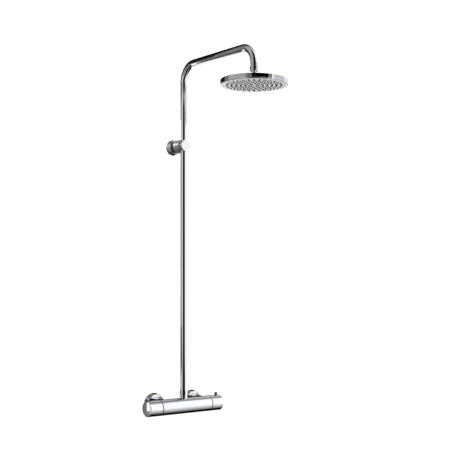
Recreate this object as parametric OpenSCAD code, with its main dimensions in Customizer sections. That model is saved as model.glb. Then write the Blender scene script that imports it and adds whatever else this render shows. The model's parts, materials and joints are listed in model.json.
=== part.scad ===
// Rainfall shower column: a thermostatic bar mixer on two wall unions, a riser held by a wall bracket,
// an arm tube that swivels in that bracket, and a round overhead shower on a ball joint.
// The wall is the plane y = 0, the room is at negative y, and the bar mixer's axis is at z = 0.
// Dimensions are in millimetres.

/* [Column] */
// Distance from the wall to the back of the bar mixer
back_gap = 39.5; // [38:0.5:60]
// Height of the arm's axis above the bar's axis
arm_z = 1100; // [900:5:1400]
// Distance from the riser's axis to the drop pipe's axis
arm_reach = 356; // [280:2:450]
// Radius of both bends of the arm, measured at the tube's axis
bend_r = 55; // [40:1:75]
// Straight run of the drop pipe between the bend and the ball joint's nut
drop_run = 9; // [4:1:80]
// Height of the arm's axis above the wall bracket's axis
bracket_drop = 259; // [120:1:500]
// Outer radius of the riser and of the arm tube
tube_r = 11; // [9:0.5:14]
// Wall thickness of both tubes
tube_wall = 1.5; // [1:0.1:2]

/* [Bar mixer] */
// Length of the bar over both handles
bar_len = 288; // [280:1:360]
// Radius of the bar and of both handles
bar_r = 25.5; // [25:0.5:34]
// Length of the flow handle, from its seam to the end of the bar
flow_handle_len = 49; // [42:1:56]
// Length of the temperature handle, from its seam to the end of the bar
temp_handle_len = 46; // [44:1:56]
// Thickness of the dark stop rings seen as seams between the body and the handles
seam_w = 1.6; // [1:0.1:2.5]
// Wall thickness of the handle shells
handle_wall = 3; // [2:0.5:4]
// Radius of the safety stop button on the temperature handle
button_r = 4.5; // [3.5:0.5:5]
// Height of the stop button above the handle
button_h = 8.5; // [4:0.5:12]
// Travel of the stop button
button_travel = 2.5; // [1:0.5:3]

/* [Wall unions] */
// Distance between the two wall inlets, and between the two inlets of the bar
inlet_pitch = 150; // [150:1:170]
// Radius of the G1/2 male thread that goes into the wall fitting
inlet_thread_r = 10.48; // [10.48:0.01:10.48]
// Length of that thread behind the face of the wall
inlet_thread_len = 15; // [10:1:25]
// Offset of the eccentric wall unions, upwards from the bar's axis
eccentric = 3.5; // [0:0.5:3.5]
// Radius of a wall rosette at the wall
rosette_r = 37; // [33:1:37]
// Radius of a wall rosette at its front edge
rosette_front_r = 34; // [30:1:34]
// Depth of a wall rosette
rosette_depth = 17; // [12:1:17]
// Radius of the round covers over the union nuts
cover_r = 23; // [22.5:0.5:25]

/* [Wall bracket] */
// Radius of the bracket's rose at the wall
rose_r = 25.5; // [24.5:0.5:28]
// Depth of the bracket's rose
rose_depth = 22; // [20:1:25]
// Length of the dark spacer ring between the rose and the clamp
spacer_len = 12; // [8:1:16]
// How far the rear half of the clamp stands out past the tube, radially
clamp_wall = 10.75; // [10:0.25:14]
// How far the front half of the clamp stands out past the tube, radially
clamp_front_wall = 7.7; // [7.5:0.1:9]
// Distance between the two screw holes in the wall plate
plate_hole_pitch = 33; // [32:0.5:34]
// Radius of the screw holes in the wall plate
plate_hole_r = 2.6; // [2:0.1:2.8]

/* [Overhead shower] */
// Radius of the shower head
head_r = 100; // [95:1:150]
// Thickness of the shower head at its rim
head_h = 16; // [15:1:20]
// Radius of the joint's ball
ball_r = 12; // [12:0.5:13]
// Radius of a nozzle tip
nozzle_r = 2.4; // [1:0.1:2.4]
// Distance from one nozzle ring to the next
nozzle_ring_pitch = 13.4; // [12:0.1:14]
// How far the nozzle tips stand below the rim
nozzle_proud = 2; // [0:0.1:2]
// Turn of the nozzle pattern about the drop pipe, in degrees
nozzle_turn = -4; // [-30:1:30]

/* [Hidden] */
$fn = 96;

// Radial clearance of a part that turns or slides in another
run = 0.05;
// Radial clearance between parts that are assembled and stay put
seat = 0.1;
// How far a cutting solid runs past the face it cuts
past = 1;

// Column
wall_reach = back_gap + bar_r;
bracket_z = arm_z - bracket_drop;
tube_bore_r = tube_r - tube_wall;
drop_y = wall_reach + arm_reach;
nut_top_z = arm_z - bend_r - drop_run;

// Bar mixer, with places measured along the bar from its middle
bar_end = bar_len / 2;
temp_seam = bar_end - temp_handle_len;
flow_seam = bar_end - flow_handle_len;
handle_gap = 0.3;
handle_start = seam_w + handle_gap;
handle_bore_r = bar_r - handle_wall;
handle_cap_r = bar_r - 4.5;
handle_cap_t = 3;
handle_edge = 1.5;
hub_r = 8;
hub_start = 10;
web_start = 18;
web_end = 22;
spindle_r = 4.5;
spindle_out = handle_start + web_end - 0.5;
screw_r = 2;
screw_in = 12;

// Thermostat cartridge, with places measured outwards from the right end of the body
thermo_r = 17;
thermo_depth = 68;
sleeve_r = 12;
sleeve_start = -58;
sleeve_end = -18;
wax_seat = -28;
wax_flange_t = 4;
spring_start = -62;
flange_start = -14;

// Flow cartridge, with places measured outwards from the left end of the body
flow_bore_r = 12;
flow_depth = 43;
disc_r = 10;
disc_t = 3;
disc_gap = 0.05;
drive_start = -25;
drive_end = -22;
disc_port_r = 2.6;
disc_port_at = 5.2;

// Waterways in the body
channel_r = 3.5;
hot_channel_in = 7.5;
out_channel_z = bar_r - 8;
mixed_r = 6;

// Outlet on top of the body
outlet_boss_r = 11.5;
outlet_boss_top = bar_r + 9;
nipple_r = 9;
nipple_top = outlet_boss_top + 7.5;
riser_seal_t = 1.5;
riser_foot = nipple_top + riser_seal_t;
riser_nut_r = tube_r + 2;
riser_nut_foot = outlet_boss_top + 0.3;
riser_nut_top = riser_foot + 7.8;

// Wall unions, with places measured from the wall into the room
union_r = 13.2;
union_face = 26;
washer_t = 2;
stub_face = union_face + washer_t;
stub_r = 9.3;
stub_flange_r = 11.9;
stub_bore_r = 8;
boss_start = 36;
boss_r = 12;
nut_across_flats = 30;
nut_start = 18;
nut_end = 35.5;
nut_shoulder = 31;
cover_wall = 1.2;
valve_start = stub_face + 0.5;
valve_end = 44;
valve_r = stub_bore_r - seat;
poppet_r = 5.2;
poppet_stem_r = 1.2;
poppet_start = valve_start + 2.2;
poppet_t = 1.5;
guide_start = 40.5;

// Bracket, with places measured from the wall into the room
plate_r = 21;
plate_t = 8;
stem_r = 12;
clamp_r = tube_r + clamp_wall;
clamp_front_r = tube_r + clamp_front_wall;
clamp_start = rose_depth + spacer_len;
stem_end = clamp_start + 12;
liner_r = tube_r + 0.65;
clamp_bore_r = liner_r + run;
clamp_front_end = wall_reach + clamp_bore_r + 0.7;
clamp_cover_t = 1.4;
clamp_screw_at = clamp_bore_r + 3.4;
grub_r = 2;

// Swivel joint inside the clamp
riser_top = bracket_z - 3;
spigot_flange_t = 1;
arm_foot = riser_top + spigot_flange_t + 0.1;
spigot_r = tube_bore_r - run;
spigot_reach = 24;
o_ring_r = 0.6;

// Ball joint and head
ball_nut_r = tube_r + 2;
ball_nut_foot = nut_top_z - 9.5;
ball_neck_r = ball_nut_r - 0.8;
ball_neck_foot = ball_nut_foot - 5.5;
ball_z = ball_neck_foot - ball_r - 5;
arm_thread_r = tube_r - 0.55;
arm_end = ball_nut_foot - 0.3;
ball_stem_r = 6;
water_r = 4;
liner_t = 1.9;
socket_r = ball_r + 2;
neck_r = socket_r + 3.5;
head_foot = ball_z - ball_r - 12;
head_top = head_foot + head_h;
face_t = 2.3;
face_foot = head_foot + 0.3;
face_top = face_foot + face_t;
face_r = head_r - 1.8;
mat_t = 1.6;
nozzle_rings = [1, 2, 3, 4, 5, 6];
most_per_ring = 30;

// Places the children on the bar's axis, with their z axis pointing right
module on_bar() {
    translate([0, -wall_reach, 0]) rotate([0, 90, 0]) children();
}

// Places the children at the right end of the body, with z pointing out of it
module at_temp_end() {
    translate([temp_seam, 0, 0]) on_bar() children();
}

// Places the children at the left end of the body, with z pointing out of it
module at_flow_end() {
    mirror([1, 0, 0]) translate([flow_seam, 0, 0]) on_bar() children();
}

// Places the children on one inlet's axis, with z pointing from the wall into the room
module at_inlet(side) {
    translate([side * inlet_pitch / 2, 0, 0]) rotate([90, 0, 0]) children();
}

// Places the children at both inlets
module at_inlets() {
    for (side = [-1, 1]) at_inlet(side) children();
}

// Places the children on the bracket's axis, with z pointing from the wall into the room
module at_bracket() {
    translate([0, 0, bracket_z]) rotate([90, 0, 0]) children();
}

// Places the children on the riser's axis
module on_riser() {
    translate([0, -wall_reach, 0]) children();
}

// Places the children on the drop pipe's axis
module on_drop() {
    translate([0, -drop_y, 0]) children();
}

// A cylinder from one place to another along z
module bar(r, from, to) {
    translate([0, 0, from]) cylinder(r = r, h = to - from);
}

// A tube from one place to another along z
module pipe(r, bore, from, to) {
    difference() {
        bar(r, from, to);
        bar(bore, from - past, to + past);
    }
}

// Outline of half a round bar whose outer edge is rounded at both ends
module rounded_outline(r, from, to, edge) {
    translate([0, from]) square([r - edge, to - from]);
    translate([0, from + edge]) square([r, to - from - 2 * edge]);
    translate([r - edge, from + edge]) circle(edge);
    translate([r - edge, to - edge]) circle(edge);
}

// A round bar whose outer edges are rounded
module rounded_bar(r, from, to, edge) {
    rotate_extrude() rounded_outline(r, from, to, edge);
}

// Hexagon socket of a screw
module hex_socket(r, from, to) {
    translate([0, 0, from]) cylinder(r = r, h = to - from, $fn = 6);
}

// A helical spring along z, from one place to another, of round wire
module coil_spring(r, wire_r, from, to, turns) {
    steps = turns * 14;
    sides = 8;
    rise = to - from - 2 * wire_r;
    points = [
        for (i = [0 : steps], s = [0 : sides - 1])
            let (
                turn = 360 * turns * i / steps,
                at = 360 * s / sides,
                ring = r + wire_r * cos(at)
            )
            [ring * cos(turn), ring * sin(turn), from + wire_r + rise * i / steps + wire_r * sin(at)]
    ];
    walls = [
        for (i = [0 : steps - 1], s = [0 : sides - 1])
            let (next = (s + 1) % sides)
            each [
                [i * sides + s, i * sides + next, (i + 1) * sides + next],
                [i * sides + s, (i + 1) * sides + next, (i + 1) * sides + s]
            ]
    ];
    first_end = [for (s = [sides - 1 : -1 : 0]) s];
    last_end = [for (s = [0 : sides - 1]) steps * sides + s];
    polyhedron(points = points, faces = concat([first_end], walls, [last_end]), convexity = 10);
}

// Eccentric connectors from the wall's threads to the bar's union nuts
module s_unions() {
    color("goldenrod")
    at_inlets() difference() {
        union() {
            translate([0, eccentric, 0]) bar(inlet_thread_r, -inlet_thread_len, 6);
            translate([0, eccentric / 2, 0]) bar(15, 4, 8);
            bar(union_r, 6, union_face);
        }
        translate([0, eccentric, 0]) bar(7, -inlet_thread_len - past, 6);
        bar(stub_bore_r, 0, union_face + past);
    }
}

// Thimble strainers in the mouths of the wall unions
module inlet_strainers() {
    color("silver")
    at_inlets() difference() {
        bar(stub_bore_r - seat, union_face - 9, union_face);
        bar(stub_bore_r - seat - 0.6, union_face - 8.4, union_face + past);
        for (a = [0 : 45 : 315])
            rotate([0, 0, a]) translate([0, 0, union_face - 4.5]) rotate([0, 90, 0])
                cylinder(r = 1.2, h = 10, $fn = 24);
    }
}

// Flat sealing washers between the wall unions and the bar
module union_washers() {
    color("dimgray")
    at_inlets() pipe(stub_flange_r, stub_bore_r, union_face, stub_face);
}

// Hexagon nuts that hold the bar to the wall unions
module union_nuts() {
    color("silver")
    at_inlets() difference() {
        intersection() {
            translate([0, 0, nut_start])
                cylinder(r = nut_across_flats / 2 / cos(30), h = nut_end - nut_start, $fn = 6);
            rounded_bar(nut_across_flats / 2 / cos(30) - 0.3, nut_start, nut_end, 0.8);
        }
        bar(union_r + run, nut_start - past, nut_shoulder);
        bar(stub_r + seat, nut_start, nut_end + past);
    }
}

// Round covers that hide the union nuts, cut to sit on the bar
module union_covers() {
    color("gainsboro")
    difference() {
        at_inlets() translate([0, eccentric, 0])
            pipe(cover_r, cover_r - cover_wall, rosette_depth + 0.1, wall_reach);
        on_bar() bar(bar_r + seat, -bar_end, bar_end);
    }
}

// Outline of half a wall rosette, as a solid
module rosette_outline(grow) {
    edge = 3;
    polygon([
        [0, 0],
        [rosette_r - grow, 0],
        [rosette_r - grow, 3],
        [rosette_front_r - grow, rosette_depth - edge],
        [rosette_front_r - edge - grow, rosette_depth - edge],
        [rosette_front_r - edge - grow, rosette_depth - grow],
        [0, rosette_depth - grow]
    ]);
    translate([rosette_front_r - edge - grow, rosette_depth - edge - grow]) circle(edge);
}

// Spun rosettes that cover the holes in the wall
module wall_rosettes() {
    color("gainsboro")
    at_inlets() translate([0, eccentric, 0]) difference() {
        rotate_extrude() rosette_outline(0);
        difference() {
            rotate_extrude() rosette_outline(1.3);
            bar(rosette_r, -past, 0);
        }
        bar(union_r + eccentric + 0.5, -past, rosette_depth + past);
        rosette_screw_place() bar(grub_r + run, -6, 6);
    }
}

// Places the children at a rosette's screw, with z pointing out of the rosette's edge
module rosette_screw_place() {
    rotate([0, 0, 56]) translate([rosette_front_r, 0, rosette_depth - 5.5]) rotate([0, 90, 0])
        children();
}

// Grub screws that hold the rosettes on the wall unions
module rosette_screws() {
    color("dimgray")
    at_inlets() translate([0, eccentric, 0]) rosette_screw_place() difference() {
        bar(grub_r, -6, 1);
        hex_socket(1.1, -1, 1 + past);
    }
}

// Bodies of the two check valves in the bar's inlets
module check_valve_bodies() {
    color("ivory")
    at_inlets() difference() {
        bar(valve_r, valve_start, valve_end);
        bar(4, valve_start - past, guide_start);
        bar(poppet_r + 0.5, valve_start + 2, guide_start);
        bar(poppet_stem_r + run, guide_start - past, valve_end + past);
        for (a = [0 : 120 : 240])
            rotate([0, 0, a]) translate([4.2, 0, guide_start - past])
                cylinder(r = 1.5, h = valve_end - guide_start + 2 * past);
    }
}

// Poppet of one check valve
module poppet(side) {
    color("slategray")
    at_inlet(side) {
        bar(poppet_r, poppet_start, poppet_start + poppet_t);
        bar(poppet_stem_r, poppet_start, guide_start + 2);
    }
}

module hot_poppet() poppet(-1);
module cold_poppet() poppet(1);

// Spring of one check valve
module poppet_spring(side) {
    color("silver")
    at_inlet(side) coil_spring(3.2, 0.3, poppet_start + poppet_t, guide_start, 5);
}

module hot_poppet_spring() poppet_spring(-1);
module cold_poppet_spring() poppet_spring(1);

// Solid outside of the mixer body: the bar, its two inlet stubs and its outlet boss
module body_outside() {
    on_bar() bar(bar_r, -flow_seam, temp_seam);
    at_inlets() {
        bar(boss_r, boss_start, back_gap + 10);
        bar(stub_r, stub_face, boss_start + past);
        bar(stub_flange_r, stub_face, stub_face + 1.5);
    }
    on_riser() bar(outlet_boss_r, bar_r - 6, outlet_boss_top);
}

// Waterways inside the mixer body
module body_waterways() {
    hot_x = -inlet_pitch / 2;
    channel_y = -back_gap - hot_channel_in;
    thermo_start = temp_seam - thermo_depth;
    hot_port_x = thermo_start + 10;
    flow_exit_x = -flow_seam - (drive_start + drive_end) / 2;
    at_temp_end() bar(thermo_r, -thermo_depth, past);
    at_flow_end() bar(flow_bore_r, -flow_depth, past);
    on_bar() bar(mixed_r, flow_depth - flow_seam - past, thermo_start + past);
    at_inlets() bar(stub_bore_r, stub_face - past, back_gap + 10);
    at_inlet(1) bar(stub_bore_r, stub_face, wall_reach - thermo_r + 2);
    translate([0, channel_y, 0]) rotate([0, 90, 0]) bar(channel_r, hot_x, hot_port_x);
    translate([hot_port_x, channel_y, 0]) rotate([90, 0, 0])
        bar(channel_r, -channel_r, bar_r - thermo_r);
    translate([0, -wall_reach, out_channel_z]) rotate([0, 90, 0])
        bar(channel_r, flow_exit_x, 0);
    translate([flow_exit_x, -wall_reach, 0]) bar(channel_r, flow_bore_r - past, out_channel_z);
    on_riser() bar(nipple_r + run, out_channel_z - channel_r, outlet_boss_top + past);
}

// Cast and machined body of the mixer
module mixer_body() {
    color("gainsboro")
    difference() {
        body_outside();
        body_waterways();
    }
}

// Housing of the thermostat cartridge, with ports for hot and cold water
module thermostat_housing() {
    color("goldenrod")
    at_temp_end() difference() {
        union() {
            bar(thermo_r - seat, 2 - thermo_depth, -1);
            bar(sleeve_r, -1 - past, 9);
        }
        bar(sleeve_r, spring_start, -5);
        bar(4.5, -thermo_depth, spring_start + past);
        bar(spindle_r + run, -6, 9 + past);
        for (z = [-55, -24], a = [0 : 90 : 270])
            rotate([0, 0, a]) translate([0, 0, z]) rotate([0, 90, 0])
                cylinder(r = 3, h = thermo_r + past);
    }
}

// Spindle that the temperature handle turns, with a threaded nose in the regulating sleeve
module thermostat_spindle() {
    color("goldenrod")
    at_temp_end() difference() {
        union() {
            bar(5 - run, wax_seat + 4, flange_start);
            bar(7, flange_start, flange_start + 4);
            bar(spindle_r, flange_start, spindle_out);
        }
        bar(screw_r, spindle_out - screw_in, spindle_out + past);
    }
}

// Sleeve that slides between the hot and the cold port
module regulating_sleeve() {
    color("ivory")
    at_temp_end() difference() {
        bar(sleeve_r - run, sleeve_start, sleeve_end);
        bar(9, sleeve_start - past, wax_seat);
        bar(5, wax_seat - past, sleeve_end + past);
    }
}

// Wax element that moves the sleeve with the water's temperature
module wax_element() {
    color("peru")
    at_temp_end() {
        bar(8.8, wax_seat - wax_flange_t, wax_seat);
        bar(4, sleeve_start + 4, wax_seat - wax_flange_t);
        bar(1.8, wax_seat, wax_seat + 3.5);
    }
}

// Spring that pushes the wax element back
module return_spring() {
    color("silver")
    at_temp_end() coil_spring(6.4, 0.6, spring_start, wax_seat - wax_flange_t, 8);
}

// Dark ring between the body and a handle
module stop_ring() {
    color([0.09, 0.09, 0.1])
    pipe(bar_r - 0.6, sleeve_r + 0.3, 0, seam_w);
}

module temp_stop_ring() at_temp_end() stop_ring();
module flow_stop_ring() at_flow_end() stop_ring();

// Shell of a handle, from its seam outwards, with a web and a hub for the spindle
module handle_shell(len) {
    difference() {
        rotate_extrude() polygon([
            [0, 0],
            [bar_r, 0],
            [bar_r, len - handle_edge],
            [bar_r - handle_edge, len],
            [0, len]
        ]);
        difference() {
            bar(handle_bore_r, -past, len - handle_cap_t - 2);
            bar(handle_bore_r + past, web_start, web_end);
            bar(hub_r, hub_start, web_end);
        }
        bar(handle_cap_r, len - handle_cap_t - 2 - past, len + past);
        bar(spindle_r + run, hub_start - past, web_end - 0.4);
        bar(screw_r + run, hub_start, web_end + past);
    }
}

// Middle of the stop button along the bar
button_x = temp_seam + temp_handle_len * 0.7;
// Underside and top of the button's flange, and floor of its pocket, above the bar's axis
button_flange_top = sqrt(pow(handle_bore_r, 2) - pow(button_r + 1.9, 2)) - 0.2;
button_flange_foot = button_flange_top - 1.6;
button_floor = button_flange_foot - button_travel - 4.1;

// Places the children at the stop button, with z pointing out of the handle
module at_button() {
    translate([button_x, -wall_reach, 0]) children();
}

// Handle that sets the temperature, with a pocket for the stop button
module temp_handle() {
    pocket_r = button_r + 2.5;
    color("gainsboro")
    difference() {
        union() {
            at_temp_end() translate([0, 0, handle_start])
                handle_shell(temp_handle_len - handle_start);
            at_button() intersection() {
                bar(pocket_r + 1.2, button_floor - 1.5, bar_r);
                rotate([0, 90, 0]) bar(handle_bore_r + past, -pocket_r - past, pocket_r + past);
            }
        }
        at_button() intersection() {
            bar(pocket_r, button_floor, bar_r);
            rotate([0, 90, 0]) bar(handle_bore_r, -pocket_r - past, pocket_r + past);
        }
        at_button() bar(button_r + run, button_floor, bar_r + past);
    }
}

// Screw that holds a handle on its spindle
module handle_screw() {
    translate([0, 0, handle_start]) difference() {
        union() {
            bar(screw_r - run, web_end - screw_in + 0.5, web_end);
            rounded_bar(4, web_end, web_end + 3, 0.4);
        }
        hex_socket(1.5, web_end + 1, web_end + 3 + past);
    }
}

module temp_handle_screw() color("silver") at_temp_end() handle_screw();
module flow_handle_screw() color("silver") at_flow_end() handle_screw();

// Disc that closes the end of a handle
module handle_cap(handle_len) {
    rounded_bar(handle_cap_r, handle_len - handle_cap_t - 0.2, handle_len - 0.2, 0.4);
}

module temp_handle_cap() color("gainsboro") at_temp_end() handle_cap(temp_handle_len);
module flow_handle_cap() color("gainsboro") at_flow_end() handle_cap(flow_handle_len);

// Safety stop button on the temperature handle
module stop_button() {
    color([0.16, 0.16, 0.17])
    at_button() {
        rounded_bar(button_r, button_flange_foot, bar_r + button_h, 0.8);
        bar(button_r + 1.9, button_flange_foot, button_flange_top);
    }
}

// Spring under the stop button
module stop_button_spring() {
    color("silver")
    at_button() coil_spring(button_r + 0.7, 0.35, button_floor, button_flange_foot, 4);
}

// Housing of the flow cartridge, open at its inner end
module flow_housing() {
    color("goldenrod")
    at_flow_end() difference() {
        union() {
            bar(flow_bore_r - seat, -flow_depth, -1);
            bar(9, -1 - past, 9);
        }
        bar(disc_r + seat, -flow_depth - past, drive_end + disc_gap);
        bar(spindle_r + run, drive_end, 9 + past);
        for (a = [0 : 90 : 270])
            rotate([0, 0, a]) translate([0, 0, (drive_start + drive_end) / 2]) rotate([0, 90, 0])
                cylinder(r = 1.4, h = flow_bore_r + past, $fn = 32);
    }
}

// Spindle that the flow handle turns, with a plate that drives the moving disc
module flow_spindle() {
    color("goldenrod")
    at_flow_end() difference() {
        union() {
            bar(disc_r - 0.5, drive_start + disc_gap, drive_end);
            bar(spindle_r, drive_start + disc_gap, spindle_out);
        }
        bar(screw_r, spindle_out - screw_in, spindle_out + past);
        for (side = [-1, 1])
            translate([0, side * disc_port_at, 0]) bar(disc_port_r, drive_start - past, drive_end + past);
    }
}

// Ceramic disc with two ports, from one place to another
module ceramic_disc(from, turn) {
    difference() {
        bar(disc_r, from, from + disc_t);
        for (side = [-1, 1])
            rotate([0, 0, turn]) translate([0, side * disc_port_at, 0])
                bar(disc_port_r, from - past, from + disc_t + past);
    }
}

// Ceramic disc that turns with the flow spindle
module moving_disc() {
    color("white")
    at_flow_end() ceramic_disc(drive_start - disc_t, 0);
}

// Ceramic disc that stays in the housing
module fixed_disc() {
    color("white")
    at_flow_end() ceramic_disc(drive_start - 2 * disc_t - disc_gap, 90);
}

// Rubber seal that presses the discs together
module flow_seal() {
    color([0.1, 0.1, 0.1])
    at_flow_end() pipe(disc_r, disc_r - 3, -flow_depth, drive_start - 2 * disc_t - disc_gap);
}

// Handle that sets the flow
module flow_handle() {
    color("gainsboro")
    at_flow_end() translate([0, 0, handle_start]) handle_shell(flow_handle_len - handle_start);
}

// Double nipple from the body to the riser's nut
module outlet_nipple() {
    color("goldenrod")
    on_riser() pipe(nipple_r, nipple_r - 2.5, out_channel_z + channel_r, nipple_top);
}

// Seal under the foot of the riser
module riser_seal() {
    color([0.1, 0.1, 0.1])
    on_riser() pipe(tube_r - seat, nipple_r - 2, nipple_top, riser_foot);
}

// Nut that holds the riser on the mixer
module riser_nut() {
    color("gainsboro")
    on_riser() difference() {
        rounded_bar(riser_nut_r, riser_nut_foot, riser_nut_top, 0.7);
        bar(nipple_r + run, riser_nut_foot - past, nipple_top);
        bar(tube_r + run, nipple_top, riser_nut_top + past);
    }
}

// Straight tube from the mixer up into the wall bracket
module riser_tube() {
    color("gainsboro")
    on_riser() pipe(tube_r, tube_bore_r, riser_foot, riser_top);
}

// Insert in the top of the riser, on which the arm tube turns
module swivel_spigot() {
    color("goldenrod")
    on_riser() difference() {
        union() {
            bar(spigot_r, riser_top - spigot_reach, riser_top + spigot_reach);
            bar(tube_r - seat, riser_top, riser_top + spigot_flange_t);
        }
        bar(spigot_r - 2.4, riser_top - spigot_reach - past, riser_top + spigot_reach + past);
        for (z = o_ring_heights()) pipe(tube_r, spigot_r - 2 * o_ring_r, z - 0.9, z + 0.9);
    }
}

// Heights of the two O-ring grooves
function o_ring_heights() = [riser_top + 9, riser_top + 17];

// O-rings that seal the arm tube on the spigot
module swivel_o_rings() {
    color([0.1, 0.1, 0.1])
    on_riser() for (z = o_ring_heights())
        translate([0, 0, z]) rotate_extrude() translate([spigot_r - o_ring_r, 0])
            circle(o_ring_r, $fn = 24);
}

// A quarter bend about a horizontal axis, from straight up to straight out into the room
module quarter_bend(r) {
    rotate([0, 0, -90]) rotate([90, 0, 0]) rotate_extrude(angle = 90)
        translate([bend_r, 0]) circle(r);
}

// The arm's path filled to one radius, running past both ends by the given length
module arm_solid(r, over) {
    on_riser() bar(r, arm_foot - over, arm_z - bend_r);
    translate([0, -wall_reach - bend_r, arm_z - bend_r]) mirror([0, 1, 0]) quarter_bend(r);
    translate([0, -wall_reach, arm_z]) rotate([90, 0, 0]) bar(r, bend_r, arm_reach - bend_r);
    translate([0, -drop_y + bend_r, arm_z - bend_r]) quarter_bend(r);
    on_drop() bar(r, nut_top_z - over, arm_z - bend_r);
}

// Bent arm tube, threaded at its lower end
module arm_tube() {
    color("gainsboro")
    difference() {
        union() {
            arm_solid(tube_r, 0);
            on_drop() bar(arm_thread_r, arm_end, nut_top_z + past);
        }
        arm_solid(tube_bore_r, past);
        on_drop() bar(tube_bore_r, arm_end - past, nut_top_z);
    }
}

// Plate that is screwed to the wall, with a stem for the clamp
module wall_plate() {
    color("silver")
    at_bracket() difference() {
        union() {
            bar(plate_r, 0, plate_t);
            bar(stem_r, plate_t, stem_end);
        }
        for (side = [-1, 1])
            translate([0, side * plate_hole_pitch / 2, 0]) bar(plate_hole_r, -past, plate_t + past);
    }
}

// Outline of half the bracket's rose: a hollow cone with a rounded front edge
module rose_outline() {
    edge = 2.5;
    wall = 1.5;
    front_r = rose_r - 2.5;
    difference() {
        union() {
            polygon([
                [0, 0],
                [rose_r, 0],
                [rose_r, 4],
                [front_r, rose_depth - edge],
                [front_r - edge, rose_depth - edge],
                [front_r - edge, rose_depth],
                [0, rose_depth]
            ]);
            translate([front_r - edge, rose_depth - edge]) circle(edge);
        }
        polygon([
            [0, -past],
            [rose_r - wall, -past],
            [rose_r - wall, 4],
            [front_r - wall - 0.3, rose_depth - edge],
            [0, rose_depth - edge]
        ]);
        translate([0, rose_depth - edge - past]) square([stem_r + seat, edge + 2 * past]);
    }
}

// Rose that hides the wall plate
module bracket_rose() {
    color("gainsboro")
    at_bracket() difference() {
        rotate_extrude() rose_outline();
        grub_place(plate_t / 2) bar(grub_r + run, plate_r, rose_r + past);
    }
}

// Places the children below the bracket's axis, with z pointing down and out of the bracket
module grub_place(depth) {
    translate([0, 0, depth]) rotate([90, 0, 0]) children();
}

// Grub screws that fix the rose to the wall plate and the clamp to its stem
module bracket_grub_screws() {
    color("dimgray")
    at_bracket() {
        grub_place(plate_t / 2) difference() {
            bar(grub_r, plate_r, rose_r + 1);
            hex_socket(1.1, rose_r - 1, rose_r + 1 + past);
        }
        grub_place(clamp_start + 6) difference() {
            bar(grub_r, stem_r, clamp_r - 2);
            hex_socket(1.1, clamp_r - 4, clamp_r);
        }
    }
}

// Dark ring between the rose and the clamp
module bracket_spacer() {
    color([0.05, 0.05, 0.05])
    at_bracket() pipe(clamp_r - 1.75, stem_r + seat, rose_depth, clamp_start);
}

// Bore through both halves of the clamp for the riser and the arm
module clamp_bore() {
    translate([0, 0, wall_reach]) rotate([90, 0, 0]) bar(clamp_bore_r, -2 * clamp_r, 2 * clamp_r);
}

// Rear half of the clamp, on the wall plate's stem
module clamp_body() {
    color("gainsboro")
    at_bracket() difference() {
        rotate_extrude() {
            square_top = wall_reach - 0.8;
            translate([0, clamp_start]) square([clamp_r - 0.8, wall_reach - clamp_start]);
            translate([0, clamp_start + 0.8]) square([clamp_r, square_top - clamp_start - 0.8]);
            translate([clamp_r - 0.8, clamp_start + 0.8]) circle(0.8);
            translate([clamp_r - 0.8, square_top]) circle(0.8);
        }
        bar(stem_r + run, clamp_start - past, stem_end + 0.2);
        clamp_bore();
        for (side = [-1, 1])
            translate([side * clamp_screw_at, 0, 0]) bar(1.75, wall_reach - 15, wall_reach + past);
        grub_place(clamp_start + 6) bar(grub_r + run, stem_r, clamp_r + past);
    }
}

// Front half of the clamp, closed round the tube by two screws
module clamp_front() {
    color("gainsboro")
    at_bracket() difference() {
        bar(clamp_front_r, wall_reach, clamp_front_end);
        clamp_bore();
        for (side = [-1, 1]) translate([side * clamp_screw_at, 0, 0]) {
            bar(1.75, wall_reach - past, clamp_front_end);
            bar(3, clamp_front_end - 3, clamp_front_end + past);
        }
    }
}

// Screws that close the clamp
module clamp_screws() {
    color("silver")
    at_bracket() for (side = [-1, 1]) translate([side * clamp_screw_at, 0, 0]) difference() {
        union() {
            bar(1.7, wall_reach - 14, clamp_front_end - 3);
            bar(2.9, clamp_front_end - 3, clamp_front_end - 0.2);
        }
        hex_socket(1.2, clamp_front_end - 2, clamp_front_end + past);
    }
}

// Disc that hides the clamp's screws
module clamp_cover() {
    color("whitesmoke")
    at_bracket() rounded_bar(clamp_front_r, clamp_front_end, clamp_front_end + clamp_cover_t, 0.6);
}

// Plastic sleeve in the clamp, in which the arm tube turns
module clamp_liner() {
    color("ivory")
    on_riser() pipe(liner_r, tube_r + run, bracket_z - clamp_front_r, bracket_z + clamp_front_r - 0.6);
}

// Nut, stem and ball in one piece, screwed on the end of the arm
module ball_stem() {
    color("gainsboro")
    on_drop() difference() {
        union() {
            translate([0, 0, ball_z]) sphere(ball_r);
            bar(ball_stem_r, ball_z, ball_neck_foot + past);
            rounded_bar(ball_neck_r, ball_neck_foot, ball_nut_foot + past, 0.8);
            rounded_bar(ball_nut_r, ball_nut_foot, nut_top_z, 0.7);
        }
        bar(water_r, ball_z - ball_r - past, nut_top_z);
        bar(water_r + 1 + run, ball_neck_foot + 0.5, ball_neck_foot + 3);
        bar(arm_thread_r + run, ball_neck_foot + 3, nut_top_z + past);
    }
}

// Disc with a small hole that limits the flow
module flow_restrictor() {
    color("limegreen")
    on_drop() pipe(water_r + 1, 1.5, ball_neck_foot + 0.5, ball_neck_foot + 3);
}

// Sealing washer with a filter, under the end of the arm
module filter_washer() {
    color("dimgray")
    on_drop() pipe(arm_thread_r - 0.05, water_r + 0.5, ball_neck_foot + 3, arm_end - 0.1);
}

// Spherical plastic liner between two angles measured from straight up
module ball_liner(from, to) {
    far = 60;
    translate([0, 0, ball_z]) rotate_extrude() intersection() {
        difference() {
            circle(socket_r - run);
            circle(socket_r - run - liner_t);
        }
        polygon([[0, 0], [far * sin(from), far * cos(from)], [far * sin(to), far * cos(to)]]);
    }
}

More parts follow.
